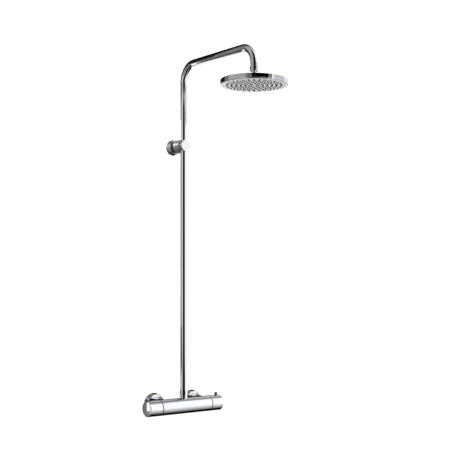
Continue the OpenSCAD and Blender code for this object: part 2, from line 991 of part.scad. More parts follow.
// Liner below the ball
module lower_liner() {
    color("ivory")
    on_drop() ball_liner(100, 140);
}

// Liner above the ball's middle, held down by the retaining nut
module upper_liner() {
    color("ivory")
    on_drop() ball_liner(50, 80);
}

// Socket of the ball joint, in the middle of the head
module head_neck() {
    color("gainsboro")
    on_drop() difference() {
        union() {
            bar(neck_r, ball_z - socket_r - 2, ball_z + 4);
            bar(neck_r + 6.5, head_top - 4, head_top - 1.6);
        }
        translate([0, 0, ball_z]) sphere(socket_r);
        bar(socket_r + 1.5, ball_z, ball_z + 4 + past);
        bar(6, ball_z - socket_r - 2 - past, ball_z - ball_r);
    }
}

// Nut that keeps the ball in its socket
module retaining_nut() {
    color("gainsboro")
    on_drop() difference() {
        union() {
            bar(socket_r + 1.4, ball_z + 0.3, ball_z + 4 + past);
            bar(neck_r, ball_z + 4, ball_z + 6.5);
        }
        translate([0, 0, ball_z]) sphere(socket_r);
    }
}

// Shell of the head: top and rim in one piece
module head_shell() {
    color("gainsboro")
    on_drop() difference() {
        rounded_bar(head_r, head_foot, head_top, 1.6);
        bar(face_r + seat, head_foot - past, face_top + 1.8);
        bar(face_r - 1.7, face_top, head_top - 1.6);
        bar(neck_r + seat, head_top - 2, head_top + past);
    }
}

// Ring seal between the shell and the face plate
module head_gasket() {
    color([0.1, 0.1, 0.1])
    on_drop() pipe(face_r, face_r - 4, face_top, face_top + 1.8);
}

// Nozzles in one ring, spread evenly up to a largest number
function nozzle_count(ring) = min(6 * ring, most_per_ring);

// Places the children at every nozzle
module at_nozzles() {
    for (ring = nozzle_rings, i = [0 : nozzle_count(ring) - 1])
        rotate([0, 0, nozzle_turn + 360 * i / nozzle_count(ring) - 90])
            translate([ring * nozzle_ring_pitch, 0, 0]) children();
}

// Pale face plate of the head, with a hole for every nozzle
module face_plate() {
    color("lightgray")
    on_drop() difference() {
        bar(face_r, face_foot, face_top);
        at_nozzles() bar(nozzle_r + seat, face_foot - past, face_top + past);
    }
}

// Silicone mat with all nozzles
module nozzle_mat() {
    color([0.25, 0.25, 0.26])
    on_drop() {
        bar(7 * nozzle_ring_pitch - 4, face_top, face_top + mat_t);
        at_nozzles() bar(nozzle_r, head_foot - nozzle_proud, face_top + mat_t / 2);
    }
}

s_unions();
inlet_strainers();
union_washers();
union_nuts();
union_covers();
wall_rosettes();
rosette_screws();
check_valve_bodies();
hot_poppet();
cold_poppet();
hot_poppet_spring();
cold_poppet_spring();
mixer_body();
thermostat_housing();
thermostat_spindle();
regulating_sleeve();
wax_element();
return_spring();
temp_stop_ring();
temp_handle();
temp_handle_screw();
temp_handle_cap();
stop_button();
stop_button_spring();
flow_housing();
flow_spindle();
moving_disc();
fixed_disc();
flow_seal();
flow_stop_ring();
flow_handle();
flow_handle_screw();
flow_handle_cap();
outlet_nipple();
riser_seal();
riser_nut();
riser_tube();
swivel_spigot();
swivel_o_rings();
arm_tube();
wall_plate();
bracket_rose();
bracket_grub_screws();
bracket_spacer();
clamp_body();
clamp_front();
clamp_screws();
clamp_cover();
clamp_liner();
ball_stem();
flow_restrictor();
filter_washer();
lower_liner();
upper_liner();
head_neck();
retaining_nut();
head_shell();
head_gasket();
face_plate();
nozzle_mat();
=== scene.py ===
"""Looks of a thermostatic rainfall shower column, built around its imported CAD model.

The wall is the plane y = 0, the room is at negative y, and the bar mixer's axis is at z = 0.
Outlines are in millimetres, as (distance from an axis, place along it, rounding of the corner).
"""

import json
import math

import bmesh
import bpy
from mathutils import Matrix, Vector
from mathutils.bvhtree import BVHTree
from mathutils.interpolate import poly_3d_calc

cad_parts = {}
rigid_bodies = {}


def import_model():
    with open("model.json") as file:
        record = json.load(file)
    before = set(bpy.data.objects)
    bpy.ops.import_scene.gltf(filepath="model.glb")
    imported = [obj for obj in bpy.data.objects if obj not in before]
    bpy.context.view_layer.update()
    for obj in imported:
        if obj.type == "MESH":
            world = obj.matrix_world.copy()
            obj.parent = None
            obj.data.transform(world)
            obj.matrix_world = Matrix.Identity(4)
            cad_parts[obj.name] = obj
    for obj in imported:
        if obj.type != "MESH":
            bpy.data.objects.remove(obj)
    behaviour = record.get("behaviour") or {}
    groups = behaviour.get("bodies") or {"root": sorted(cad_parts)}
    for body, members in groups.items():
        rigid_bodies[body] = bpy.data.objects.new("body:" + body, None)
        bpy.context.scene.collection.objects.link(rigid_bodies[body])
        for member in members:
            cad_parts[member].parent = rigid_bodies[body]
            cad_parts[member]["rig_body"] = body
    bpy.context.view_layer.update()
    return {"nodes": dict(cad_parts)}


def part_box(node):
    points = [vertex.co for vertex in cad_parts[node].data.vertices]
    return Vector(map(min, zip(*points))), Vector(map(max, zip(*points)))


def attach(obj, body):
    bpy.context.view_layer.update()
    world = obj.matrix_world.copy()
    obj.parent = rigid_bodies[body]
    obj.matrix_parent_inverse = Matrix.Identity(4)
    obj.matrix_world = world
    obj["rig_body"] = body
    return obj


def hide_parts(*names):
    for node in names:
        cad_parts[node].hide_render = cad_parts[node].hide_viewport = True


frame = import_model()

# ---------------------------------------------------------------------------------------------
# Wall unions: two eccentric connectors of turned brass, with a G1/2 thread that goes into the wall
# fitting. The bar's swivel nuts are pulled up on them, over a strainer and a flat rubber washer.
MM = 0.001
ALONG_WALL = Matrix.Rotation(math.radians(90), 4, "Y")
INTO_ROOM = Matrix.Rotation(math.radians(90), 4, "X")


def linear(hex_colour):
    """Turns an sRGB hex colour into the linear colour that a shader takes."""
    channels = [int(hex_colour[start : start + 2], 16) / 255 for start in (1, 3, 5)]
    low = [channel / 12.92 for channel in channels]
    high = [((channel + 0.055) / 1.055) ** 2.4 for channel in channels]
    return [h if c > 0.04045 else l for c, l, h in zip(channels, low, high)] + [1.0]


def add(tree, kind, inputs=None, **settings):
    """Adds one node. Settings are its own properties; inputs are values, or sockets to link."""
    node = tree.nodes.new(kind)
    for name, value in settings.items():
        setattr(node, name, value)
    for name, value in (inputs or {}).items():
        if isinstance(value, bpy.types.NodeSocket):
            tree.links.new(value, node.inputs[name])
        else:
            node.inputs[name].default_value = value
    return node


def finish_of(name, colour, metallic, roughness, grain_mm, bump_mm):
    """A material whose roughness, height and colour vary over grain of a real size.

    The colour is a hex value, or a pair of them that the grain blends. Roughness is a pair too:
    its values at the low and the high places of the grain.
    """
    grain_low, grain_high = 0.3, 0.7
    blend_start, blend_end = 0.35, 0.65
    material = bpy.data.materials.new(name)
    material.use_nodes = True
    tree = material.node_tree
    tree.nodes.clear()
    place = add(tree, "ShaderNodeTexCoord").outputs["Object"]
    size = {"Vector": place, "Scale": 1 / (grain_mm * MM), "Detail": 3.0}
    grain = add(tree, "ShaderNodeTexNoise", size).outputs["Fac"]
    spread = {"Value": grain, "From Min": grain_low, "From Max": grain_high}
    spread.update({"To Min": roughness[0], "To Max": roughness[1]})
    height = {"Height": grain, "Strength": 1.0, "Distance": bump_mm * MM}
    inputs = {
        "Metallic": metallic,
        "Roughness": add(tree, "ShaderNodeMapRange", spread).outputs["Result"],
        "Normal": add(tree, "ShaderNodeBump", height).outputs["Normal"],
    }
    if isinstance(colour, str):
        inputs["Base Color"] = linear(colour)
    else:
        ramp = add(tree, "ShaderNodeValToRGB", {"Fac": grain})
        positions = (blend_start, blend_end)
        for stop, position, shade in zip(ramp.color_ramp.elements, positions, colour):
            stop.position = position
            stop.color = linear(shade)
        inputs["Base Color"] = ramp.outputs["Color"]
    shader = add(tree, "ShaderNodeBsdfPrincipled", inputs)
    add(tree, "ShaderNodeOutputMaterial", {"Surface": shader.outputs["BSDF"]})
    return material


# Turned brass: warm yellow, with fine tool marks that blur its highlights.
turned_brass = finish_of("turned_brass", ("#B08D45", "#CBAA62"), 1.0, (0.22, 0.38), 0.6, 0.004)
# Nickel-plated steel of nuts and screws: a cool grey, duller than chrome.
nickel_steel = finish_of("nickel_plated_steel", "#A9A8A4", 1.0, (0.18, 0.32), 0.8, 0.003)
# Stainless wire and mesh: bright, and finely scratched by drawing.
drawn_steel = finish_of("drawn_stainless_steel", "#B9BABB", 1.0, (0.2, 0.35), 0.4, 0.002)
# EPDM rubber as moulded: near black, and soft to the light.
epdm_rubber = finish_of("moulded_epdm_rubber", ("#19191A", "#222223"), 0.0, (0.6, 0.75), 0.5, 0.006)


def at(x, y, z):
    """A place in millimetres, as a matrix."""
    return Matrix.Translation(Vector((x, y, z)) * MM)


def softened(corners, steps=4):
    """Points of an outline whose corners (distance, place, rounding) are rounded by arcs."""
    points = []
    for index, (across, along, rounding) in enumerate(corners):
        corner = Vector((across, along))
        if not rounding:
            points.append(corner)
            continue
        previous = Vector(corners[index - 1][:2])
        following = Vector(corners[(index + 1) % len(corners)][:2])
        back = (previous - corner).normalized()
        ahead = (following - corner).normalized()
        half = back.angle(ahead) / 2
        centre = corner + (back + ahead).normalized() * rounding / math.sin(half)
        first = corner + back * rounding / math.tan(half) - centre
        last = corner + ahead * rounding / math.tan(half) - centre
        turn = first.angle_signed(last)
        for step in range(steps + 1):
            arm = first.copy()
            arm.rotate(Matrix.Rotation(-turn * step / steps, 2))
            points.append(centre + arm)
    return points


def smooth(mesh):
    """Shades a mesh smooth except over edges sharper than those of a rounding."""
    sharpest_rounding = math.radians(32)
    mesh.shade_smooth()
    mesh.set_sharp_from_angle(angle=sharpest_rounding)
    return mesh


def after(mesh, kind, **settings):
    """The mesh after one modifier."""
    thing = bpy.data.objects.new("work", mesh)
    bpy.context.scene.collection.objects.link(thing)
    modifier = thing.modifiers.new("step", kind)
    for name, value in settings.items():
        setattr(modifier, name, value)
    graph = bpy.context.evaluated_depsgraph_get()
    result = bpy.data.meshes.new_from_object(thing.evaluated_get(graph))
    bpy.data.objects.remove(thing)
    return result


def closed(made):
    """Turns a bmesh of a closed surface into a mesh with outward faces.

    Its shading follows the larger faces, so that a rounding doesn't bend the face beside it.
    """
    bmesh.ops.recalc_face_normals(made, faces=made.faces)
    mesh = bpy.data.meshes.new("mesh")
    made.to_mesh(mesh)
    made.free()
    return after(smooth(mesh), "WEIGHTED_NORMAL", keep_sharp=True, weight=100)


def spun(corners, place, steps=160, wave=None):
    """A closed mesh turned round the z axis of a place from an outline in millimetres.

    An outline that touches the axis closes there. A wave gives the distance from the axis
    for a distance, a place along the axis and an angle, as on a thread.
    """
    made = bmesh.new()
    rings = []
    for across, along in softened(corners):
        ring = []
        for step in range(steps if across > 1e-6 else 1):
            angle = math.tau * step / steps
            reach = wave(across, along, angle) if wave and across > 1e-6 else across
            spot = Vector((reach * math.cos(angle), reach * math.sin(angle), along)) * MM
            ring.append(made.verts.new(place @ spot))
        rings.append(ring)
    for lower, upper in zip(rings, rings[1:] + rings[:1]):
        if len(lower) == len(upper) == 1:
            continue
        for step in range(steps):
            face = [lower[step % len(lower)], lower[(step + 1) % len(lower)]]
            face += [upper[(step + 1) % len(upper)], upper[step % len(upper)]]
            made.faces.new(list(dict.fromkeys(face)))
    return closed(made)


def rod(radius, start, end, place, steps=64):
    """A plain round tool that cuts a bore."""
    return spun([(0, start, 0), (radius, start, 0), (radius, end, 0), (0, end, 0)], place, steps)


def bare(sources):
    """A mesh of the faces of several meshes, as separate shells, without their shading."""
    corners, faces = [], []
    for source in sources:
        faces += [[len(corners) + v for v in face.vertices] for face in source.polygons]
        corners += [vertex.co.copy() for vertex in source.vertices]
    mesh = bpy.data.meshes.new("mesh")
    mesh.from_pydata(corners, [], faces)
    return mesh


def together(*sources):
    """One mesh of several, each keeping its own shading."""
    normals = [normal.vector.copy() for source in sources for normal in source.corner_normals]
    mesh = bare(sources)
    mesh.shade_smooth()
    mesh.normals_split_custom_set(normals)
    return mesh


def combined(mesh, tool, operation):
    """A mesh cut by a tool or joined with it. Its curved faces keep their smooth shading."""
    other = bpy.data.objects.new("tool", tool)
    bpy.context.scene.collection.objects.link(other)
    joined = after(mesh, "BOOLEAN", object=other, operation=operation, solver="EXACT")
    bpy.data.objects.remove(other)
    result = smooth(bare([joined]))
    result.normals_split_custom_set(carried_normals(result, (mesh, tool), operation))
    return result


def carried_normals(result, sources, operation):
    """Normals for the corners of a combined mesh, read from the smooth meshes it came from.

    Each corner is read a little way in from its face's edge. A source counts when it lies within
    the reach of that spot, and faces nearly the same way.
    """
    way_in = 0.02
    reach = 2e-5
    same_way = 0.95
    trees = []
    for source in sources:
        corners = [vertex.co for vertex in source.vertices]
        trees.append(BVHTree.FromPolygons(corners, [face.vertices for face in source.polygons]))
    signs = (1, -1 if operation == "DIFFERENCE" else 1)
    normals = []
    for face in result.polygons:
        for loop in face.loop_indices:
            corner = result.vertices[result.loops[loop].vertex_index].co
            spot = corner.lerp(face.center, way_in)
            normal = result.corner_normals[loop].vector.copy()
            for source, tree, sign in zip(sources, trees, signs):
                near, facing, found, distance = tree.find_nearest(spot)
                if distance > reach or sign * facing.dot(face.normal) < same_way:
                    continue
                old = source.polygons[found]
                weights = poly_3d_calc([source.vertices[v].co for v in old.vertices], near)
                carried = Vector()
                for weight, index in zip(weights, old.loop_indices):
                    carried += weight * sign * source.corner_normals[index].vector
                normal = carried.normalized()
                break
            normals.append(normal)
    return normals


def piece(name, mesh, material, slot, *nodes):
    """Shows a mesh with a material in place of CAD nodes, on their body. The slot is not used."""
    mesh.materials.clear()
    mesh.materials.append(material)
    mesh.name = name
    thing = bpy.data.objects.new(name, mesh)
    bpy.context.scene.collection.objects.link(thing)
    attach(thing, frame["nodes"][nodes[0]]["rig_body"])
    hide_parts(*nodes)
    return thing


def coat(material, slot, *nodes):
    """Gives CAD nodes whose shape is right their finish."""
    for node in nodes:
        thing = frame["nodes"][node]
        thing.data.materials.clear()
        thing.data.materials.append(material)


def span(node, axis):
    """Lowest and highest place of a CAD node along an axis, in millimetres."""
    low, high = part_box(node)
    return low[axis] / MM, high[axis] / MM


WALL_REACH = -sum(span("riser_tube", 1)) / 2
ECCENTRIC = sum(span("wall_rosettes", 2)) / 2
INLET_AT = 75
SIDES = (-1, 1)
# Pipe thread G1/2: the pitch, depth and radius of the standard.
THREAD_PITCH = 1.814
THREAD_DEPTH = 1.16
THREAD_R = 10.48
THREAD_LENGTH = 15
ROWS_PER_PITCH = 8


def thread_wave(start, end):
    """Wave of a V thread between two places, which fades out over half a pitch at both."""

    def wave(across, along, angle):
        inside = min(along - start, end - along) / (THREAD_PITCH / 2)
        if inside <= 0:
            return across
        phase = (along / THREAD_PITCH - angle / math.tau) % 1
        return across - THREAD_DEPTH * (1 - abs(2 * phase - 1)) * min(1, inside)

    return wave


def wall_union(side):
    """One eccentric connector: thread, offset flange, and the barrel behind the nut."""
    thread_axis = at(side * INLET_AT, 0, ECCENTRIC) @ INTO_ROOM
    flange_axis = at(side * INLET_AT, 0, ECCENTRIC / 2) @ INTO_ROOM
    barrel_axis = at(side * INLET_AT, 0, 0) @ INTO_ROOM
    rows = int(ROWS_PER_PITCH * THREAD_LENGTH / THREAD_PITCH)
    thread = [(0, -THREAD_LENGTH, 0)]
    for row in range(rows + 1):
        thread.append((THREAD_R, -THREAD_LENGTH + THREAD_LENGTH * row / rows, 0))
    thread += [(THREAD_R, 6, 0), (0, 6, 0)]
    joined = spun(thread, thread_axis, 96, thread_wave(-THREAD_LENGTH - 0.2, -1))
    flange = spun([(0, 4, 0), (15, 4, 0.5), (15, 8, 0.5), (0, 8, 0)], flange_axis, 96)
    joined = combined(joined, flange, "UNION")
    barrel = spun([(0, 5.9, 0), (13.2, 5.9, 0), (13.2, 26, 0.6), (0, 26, 0)], barrel_axis, 96)
    joined = combined(joined, barrel, "UNION")
    joined = combined(joined, rod(7, -16, 6.5, thread_axis), "DIFFERENCE")
    return combined(joined, rod(8, 3, 27, barrel_axis), "DIFFERENCE")


piece("wall_unions", together(*map(wall_union, SIDES)), turned_brass, "brass", "s_unions")
coat(nickel_steel, "steel", "union_nuts")
coat(drawn_steel, "steel", "inlet_strainers")
coat(epdm_rubber, "rubber", "union_washers")

# ---------------------------------------------------------------------------------------------
# Wall rosettes: spun from brass sheet, polished and chromium plated, each held on its wall union
# by one grub screw. They cover the holes in the tiles.
# Polished chromium plate is a hard, faintly cool mirror with a trace of orange peel in it.
polished_chrome = finish_of("polished_chrome_on_brass", "#D3D5D8", 1.0, (0.02, 0.045), 12, 0.004)
# Black oxide on the screws' steel: nearly black, and slightly oily.
black_oxide = finish_of("black_oxide_steel", "#2A2A2B", 1.0, (0.3, 0.45), 0.5, 0.002)
# Radius of the holes for the grub screws.
GRUB_R = 2.05


def rosette(side):
    """One hollow rosette, with the hole for its grub screw on the upper right of its edge."""
    axis = at(side * INLET_AT, 0, ECCENTRIC) @ INTO_ROOM
    outside = [(17.2, 17, 0.4), (33.2, 17, 3), (37, 3, 1.5), (37, 0, 0.4)]
    inside = [(35.7, 0, 0.2), (35.7, 3, 1), (32, 15.7, 1), (17.2, 15.7, 0)]
    screw_turn = Matrix.Rotation(math.radians(56), 4, "Z")
    screw_axis = axis @ screw_turn @ at(34, 0, 11.5) @ ALONG_WALL
    screw_hole = rod(GRUB_R, -6, 6, screw_axis)
    return combined(spun(outside + inside, axis, 192), screw_hole, "DIFFERENCE")


rosettes = together(*map(rosette, SIDES))
piece("wall_rosettes_chromed", rosettes, polished_chrome, "chrome", "wall_rosettes")
coat(black_oxide, "steel", "rosette_screws")

# ---------------------------------------------------------------------------------------------
# Round covers over the union nuts: thin drawn brass tubes, chromium plated. Their front ends are
# cut to a saddle that sits on the bar.
bar_axis = at(0, -WALL_REACH, 0) @ ALONG_WALL


def nut_cover(side):
    """One tube from the rosette to the bar."""
    axis = at(side * INLET_AT, 0, ECCENTRIC) @ INTO_ROOM
    corners = [(21.8, 17.1, 0.3), (23, 17.1, 0.3), (23, WALL_REACH, 0), (21.8, WALL_REACH, 0)]
    return combined(spun(corners, axis, 160), rod(25.6, -130, 130, bar_axis, 192), "DIFFERENCE")


nut_covers = together(*map(nut_cover, SIDES))
piece("union_nut_covers", nut_covers, polished_chrome, "chrome", "union_covers")

# ---------------------------------------------------------------------------------------------
# Mixer body: a cast brass bar, turned and polished round, with two inlet stubs at the back and the
# outlet boss on top, chromium plated. The two cartridges are screwed into its ends.
BAR_R = span("flow_handle", 2)[1]
FLOW_SEAM = -span("mixer_body", 0)[0]
TEMP_SEAM = span("mixer_body", 0)[1]


def mixer_body():
    """The bar with its bores, stubs and boss."""
    outside = [(12, -FLOW_SEAM, 0.3), (BAR_R, -FLOW_SEAM, 1), (BAR_R, TEMP_SEAM, 1)]
    bores = [(17, TEMP_SEAM, 0.3), (17, 30, 0), (6, 30, 0), (6, -52, 0), (12, -52, 0)]
    body = spun(outside + bores, bar_axis, 256)
    stub = [(0, 28, 0), (11.9, 28, 0.3), (11.9, 29.5, 0.3), (9.3, 29.5, 0), (9.3, 36, 0)]
    stub += [(12, 36, 0.5), (12, 50, 0), (0, 50, 0)]
    boss = [(0, 19.5, 0), (11.5, 19.5, 0), (11.5, 34.5, 0.4), (0, 34.5, 0)]
    boss_axis = at(0, -WALL_REACH, 0)
    body = combined(body, spun(boss, boss_axis, 128), "UNION")
    for side in SIDES:
        inlet_axis = at(side * INLET_AT, 0, 0) @ INTO_ROOM
        body = combined(body, spun(stub, inlet_axis, 96), "UNION")
        body = combined(body, rod(8, 27, 47, inlet_axis), "DIFFERENCE")
    return combined(body, rod(9.05, 18, 36, boss_axis), "DIFFERENCE")


piece("mixer_bar_body", mixer_body(), polished_chrome, "chrome", "mixer_body")

# ---------------------------------------------------------------------------------------------
# Inside the body: check valves of white plastic in both inlets, a brass thermostat cartridge with
# its wax element at the right, and a brass cartridge with two ceramic discs at the left.
# Moulded acetal: creamy white, with a faint sheen.
white_acetal = finish_of("moulded_white_acetal", ("#E4E1D6", "#EFEDE4"), 0.0, (0.35, 0.5), 2, 0.004)
# Polished alumina: cool white, and as smooth as glass.
alumina = finish_of("polished_alumina_ceramic", ("#EDEDEA", "#F6F6F4"), 0.0, (0.08, 0.15), 1, 0.001)
# Drawn copper of the wax element: red-brown, lightly tarnished.
copper = finish_of("drawn_copper", ("#A9603F", "#C47F57"), 1.0, (0.25, 0.4), 1.5, 0.003)

coat(white_acetal, "white_plastic", "check_valve_bodies", "hot_poppet", "cold_poppet")
coat(white_acetal, "white_plastic", "regulating_sleeve")
coat(drawn_steel, "steel", "hot_poppet_spring", "cold_poppet_spring", "return_spring")
coat(turned_brass, "brass", "thermostat_housing", "thermostat_spindle")
coat(turned_brass, "brass", "flow_housing", "flow_spindle")
coat(copper, "copper", "wax_element")
coat(alumina, "ceramic", "moving_disc", "fixed_disc")
coat(epdm_rubber, "rubber", "flow_seal")

# ---------------------------------------------------------------------------------------------
# Stop rings: dark acetal rings between the body and both handles. They limit how far the handles
# turn, and show as the two dark seams.
# Black acetal as moulded: an even satin black.
black_acetal = finish_of("moulded_black_acetal", ("#101011", "#171718"), 0.0, (0.35, 0.5), 1, 0.004)
seam_of = {
    "temp": at(TEMP_SEAM, 0, 0) @ bar_axis,
    "flow": Matrix.Scale(-1, 4, (1, 0, 0)) @ at(FLOW_SEAM, 0, 0) @ bar_axis,
}

RING_R, RING_BORE, RING_WIDTH = BAR_R - 2.5, 12.3, 1.6

for side, seam in seam_of.items():
    ring = [(RING_BORE, 0, 0.1), (RING_R, 0, 0.1)]
    ring += [(RING_R, RING_WIDTH, 0.1), (RING_BORE, RING_WIDTH, 0.1)]
    name = f"{side}_stop_ring"
    piece(f"{side}_seam_ring", spun(ring, seam, 160), black_acetal, "black_plastic", name)

# ---------------------------------------------------------------------------------------------
# Handles: round shells of cast zinc, polished and chromium plated, each with a web and a hub on
# the cartridge's spindle. A screw in the hub holds it, under a polished cap pressed in the end.
HANDLE_START = 1.9
handle_length = {
    "temp": span("temp_handle", 0)[1] - TEMP_SEAM,
    "flow": -span("flow_handle", 0)[0] - FLOW_SEAM,
}


def handle_shell(length, seam):
    """A shell with its inner web and hub, from the seam outwards."""
    skin = [(BAR_R, HANDLE_START, 1), (BAR_R, length - 1.5, 0.6), (24, length, 0.4)]
    recess = [(21, length, 0.2), (21, length - 5, 0), (22.5, length - 5, 0)]
    web = [(22.5, 23.9, 0), (2.05, 23.9, 0), (2.05, 23.5, 0), (4.55, 23.5, 0)]
    hub = [(4.55, 11.9, 0.2), (8, 11.9, 0.4), (8, 19.9, 0.8), (22.5, 19.9, 0.8)]
    return spun(skin + recess + web + hub + [(22.5, HANDLE_START, 0.2)], seam, 256)


def handle_cap(length, seam):
    """A disc whose face is crowned by less than its recess, so that it catches a soft gradient."""
    foot = length - 3.2
    face = length - 1.1
    crown_r, crown_rise, steps = 20.6, 0.9, 16
    crown = []
    for step in range(steps + 1):
        out = step / steps
        crown.append((crown_r * step / steps, face + crown_rise * (1 - out**2), 0))
    edge = [(0, foot, 0), (20.95, foot, 0.3), (20.95, face - 0.2, 0)]
    return spun(edge + crown[::-1], seam, 192)


button_low, button_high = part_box("stop_button")
button_axis = at((button_low.x + button_high.x) / 2 / MM, -WALL_REACH, 0)
shells = {side: handle_shell(handle_length[side], seam) for side, seam in seam_of.items()}
cup = [(0, 11.7, 0), (8.2, 11.7, 0.5), (8.2, 23.5, 0), (7, 23.5, 0), (7, 13.2, 0), (0, 13.2, 0)]
shells["temp"] = combined(shells["temp"], spun(cup, button_axis, 64), "UNION")
shells["temp"] = combined(shells["temp"], rod(4.55, 20, 27, button_axis), "DIFFERENCE")
for side, seam in seam_of.items():
    piece(f"{side}_knob", shells[side], polished_chrome, "chrome", f"{side}_handle")
    cap = handle_cap(handle_length[side], seam)
    piece(f"{side}_end_cap", cap, polished_chrome, "chrome", f"{side}_handle_cap")
    coat(nickel_steel, "steel", f"{side}_handle_screw")

# ---------------------------------------------------------------------------------------------
# Safety stop: a grey plastic button on the temperature handle. It is pressed to turn the handle
# past 38 degrees, and a spring lifts it again.
# Grey ABS, spark-eroded in the mould: dark, with a fine matt grain.
grey_abs = finish_of("grained_grey_abs", ("#2E2E30", "#38383A"), 0.0, (0.42, 0.58), 0.4, 0.01)
foot, flange, top = button_low.z / MM, 21.37, button_high.z / MM
dished = [(3, top, 0.8), (2.2, top - 0.35, 0.4), (0, top - 0.4, 0)]
button = [(0, foot, 0), (6.4, foot, 0.2), (6.4, flange, 0.2), (4.5, flange, 0), (4.5, top, 1)]
button = spun(button + dished, button_axis, 96)
piece("safety_stop_button", button, grey_abs, "button_plastic", "stop_button")
coat(drawn_steel, "steel", "stop_button_spring")

# ---------------------------------------------------------------------------------------------
# Riser: a straight drawn brass tube, polished and chromium plated. A nut pulls its foot down on
# the outlet nipple, and a spigot in its top carries the arm.
TUBE_R, TUBE_BORE = 11, 9.5
riser_axis = at(0, -WALL_REACH, 0)
riser_foot, riser_top = span("riser_tube", 2)
nut_foot, nut_top = span("riser_nut", 2)
nut_r = span("riser_nut", 0)[1]
tube = [(TUBE_BORE, riser_foot, 0.2), (TUBE_R, riser_foot, 0.3)]
tube += [(TUBE_R, riser_top, 0.3), (TUBE_BORE, riser_top, 0.2)]
nut = [(9.05, nut_foot, 0.2), (nut_r, nut_foot, 0.6), (nut_r, nut_top, 0.6), (11.05, nut_top, 0.1)]
nut += [(11.05, 42, 0), (9.05, 42, 0)]
piece("riser_pipe", spun(tube, riser_axis, 192), polished_chrome, "chrome", "riser_tube")
piece("riser_foot_nut", spun(nut, riser_axis, 192), polished_chrome, "chrome", "riser_nut")
coat(turned_brass, "brass", "outlet_nipple", "swivel_spigot")
coat(epdm_rubber, "rubber", "riser_seal", "swivel_o_rings")

# ---------------------------------------------------------------------------------------------
# Wall bracket: a zinc plate screwed to the wall, hidden by a chromed rose. A black acetal spacer stands
# in front of it, its black partly painted shade for the dark gap between the rose and the clamp, and a
# chromed clamp in two halves holds the riser, its screws under a flat disc.
# Cast zinc as it leaves the die: dull grey, with a fine pitted skin.
cast_zinc = finish_of("die_cast_zinc", ("#8D8F90", "#A3A5A6"), 1.0, (0.35, 0.55), 0.9, 0.008)
# The bracket's parts are blasted before plating: their chrome is satin, and blurs what it mirrors.
satin_chrome = finish_of("satin_chrome_on_zinc", "#D8D9DB", 1.0, (0.26, 0.34), 4, 0.002)
bracket_z = sum(span("wall_plate", 2)) / 2
bracket_axis = at(0, 0, bracket_z) @ INTO_ROOM
CLAMP_BORE, CLAMP_R, FRONT_R, FRONT_END = 11.7, 21.75, 18.7, 77.4
clamp_bore = rod(CLAMP_BORE, bracket_z - 60, bracket_z + 60, riser_axis, 128)


def below(depth):
    """Axis of a grub screw that comes in from below, at a depth from the wall."""
    return bracket_axis @ at(0, 0, depth) @ INTO_ROOM


rose = [(12.1, 22, 0.3), (22.6, 22, 2.5), (25.5, 4, 1), (25.5, 0, 0.3)]
rose += [(24, 0, 0.2), (24, 4, 0.8), (21.2, 19.5, 0.8), (12.1, 19.5, 0)]
rose_hole = rod(GRUB_R, 21, 27, below(4), 32)
rose = combined(spun(rose, bracket_axis, 192), rose_hole, "DIFFERENCE")
piece("bracket_rose_chromed", rose, satin_chrome, "chrome", "bracket_rose")

# The spacer's black is partly painted shade: it darkens the gap between the rose and the clamp.
spacer_with_painted_shade = [(12.1, 22, 0.2), (20, 22, 0.3), (20, 34, 0.3), (12.1, 34, 0.2)]
spacer_with_painted_shade = spun(spacer_with_painted_shade, bracket_axis, 160)
piece("bracket_spacer_ring_painted_shade", spacer_with_painted_shade, black_acetal, "black_plastic", "bracket_spacer")

clamp = [(0, 34, 0), (CLAMP_R, 34, 0.8), (CLAMP_R, WALL_REACH, 0.8), (0, WALL_REACH, 0)]
clamp = combined(spun(clamp, bracket_axis, 192), rod(12.05, 33, 46.2, bracket_axis), "DIFFERENCE")
clamp = combined(clamp, clamp_bore, "DIFFERENCE")
clamp = combined(clamp, rod(GRUB_R, 12, 23, below(40), 32), "DIFFERENCE")
front = [(0, WALL_REACH, 0), (FRONT_R, WALL_REACH, 0.3), (FRONT_R, FRONT_END, 0.2)]
front.append((0, FRONT_END, 0))
front = combined(spun(front, bracket_axis, 192), clamp_bore, "DIFFERENCE")
for side in SIDES:
    screw_axis = bracket_axis @ at(side * 15.1, 0, 0)
    clamp = combined(clamp, rod(1.75, 50, 66, screw_axis, 24), "DIFFERENCE")
    front = combined(front, rod(1.75, 64, 75, screw_axis, 24), "DIFFERENCE")
    front = combined(front, rod(3, 74.4, 78, screw_axis, 32), "DIFFERENCE")
piece("clamp_rear_half", clamp, satin_chrome, "chrome", "clamp_body")
piece("clamp_front_half", front, satin_chrome, "chrome", "clamp_front")
disc_end = FRONT_END + 1.4
disc = [(0, FRONT_END, 0), (FRONT_R, FRONT_END, 0.2), (FRONT_R, disc_end, 0.6), (0, disc_end, 0)]
piece("clamp_cover_disc", spun(disc, bracket_axis, 192), satin_chrome, "chrome", "clamp_cover")
coat(cast_zinc, "zinc", "wall_plate")
coat(black_oxide, "steel", "bracket_grub_screws")
coat(nickel_steel, "steel", "clamp_screws")
sleeve_foot, sleeve_top = bracket_z - 14, bracket_z + 14
sleeve = [(11.05, sleeve_foot, 0), (11.65, sleeve_foot, 0)]
sleeve += [(11.65, sleeve_top, 0), (11.05, sleeve_top, 0)]
sleeve = spun(sleeve, riser_axis, 128)
piece("clamp_bore_liner", sleeve, white_acetal, "white_plastic", "clamp_liner")

# ---------------------------------------------------------------------------------------------
# Arm: one brass tube bent twice through a quarter turn, polished and chromium plated. Its foot
# turns on the riser's spigot inside the clamp, and its thin end is threaded for the ball joint.
BEND_R = 55
ARM_THREAD = 9.8
arm_low, arm_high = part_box("arm_tube")
arm_foot = span("arm_tube", 2)[0]
arm_z = arm_high.z / MM - TUBE_R
drop_y = arm_low.y / MM + TUBE_R
thread_top = span("ball_stem", 2)[1]
thread_foot = thread_top - ARM_THREAD


